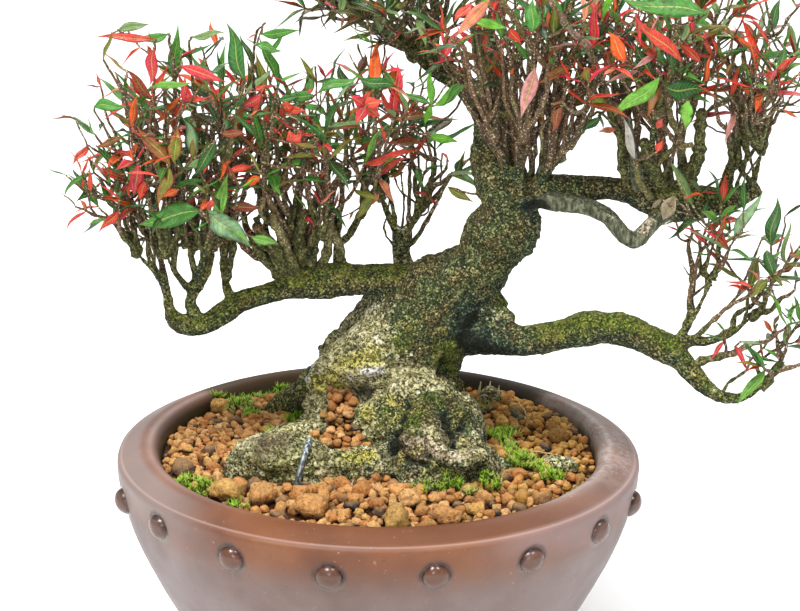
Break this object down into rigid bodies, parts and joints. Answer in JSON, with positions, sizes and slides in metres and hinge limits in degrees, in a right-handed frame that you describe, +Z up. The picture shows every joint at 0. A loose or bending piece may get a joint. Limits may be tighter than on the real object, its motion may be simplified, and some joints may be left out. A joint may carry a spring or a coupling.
{
  "type": "bonsai tree in a pot",
  "caption": "Small jasmine bonsai with a leaning trunk, long side limbs and twiggy green and red foliage, standing in a round clay bowl with domed studs.",
  "frame": {"origin": "centre of the pot's flat underside", "axes": "+Z up, -Y towards the front of the tree, +X to the side that the trunk leans to"},
  "size_m": [0.2452, 0.1698, 0.2587],
  "materials": {
    "clay": "satin unglazed",
    "soil": "matt, coarse grains",
    "mesh": "matt",
    "wire": "coated, satin",
    "bark": "rough bark with moss and lichen",
    "leaf_green": "waxy",
    "leaf_red": "waxy"
  },
  "bodies": {
    "root": {"pot": "clay", "drain_mesh_1": "mesh", "drain_mesh_2": "mesh", "drain_mesh_3": "mesh", "soil": "soil", "tie_wire": "wire", "wood": "bark", "spray_left_1": "leaf_green", "spray_left_2": "leaf_green", "spray_left_3": "leaf_green", "spray_left_4": "leaf_green", "spray_left_5": "leaf_green", "spray_left_6": "leaf_green", "spray_left_7": "leaf_green", "spray_left_8": "leaf_green", "spray_left_9": "leaf_green", "spray_left_10": "leaf_green", "spray_left_red_1": "leaf_red", "spray_left_red_2": "leaf_red", "spray_middle_1": "leaf_green", "spray_middle_2": "leaf_green", "spray_back_1": "leaf_green", "spray_back_2": "leaf_green", "spray_back_3": "leaf_green", "spray_top_1": "leaf_green", "spray_centre_1": "leaf_green", "spray_centre_2": "leaf_green", "spray_centre_3": "leaf_green", "spray_centre_4": "leaf_green", "spray_centre_red_1": "leaf_red", "spray_right_1": "leaf_green", "spray_right_2": "leaf_green", "spray_right_3": "leaf_green", "spray_right_4": "leaf_green", "spray_right_5": "leaf_green", "spray_right_6": "leaf_green", "spray_right_red_1": "leaf_red", "spray_low_1": "leaf_green", "spray_low_2": "leaf_green", "spray_low_3": "leaf_green"}
  },
  "joints": []
}
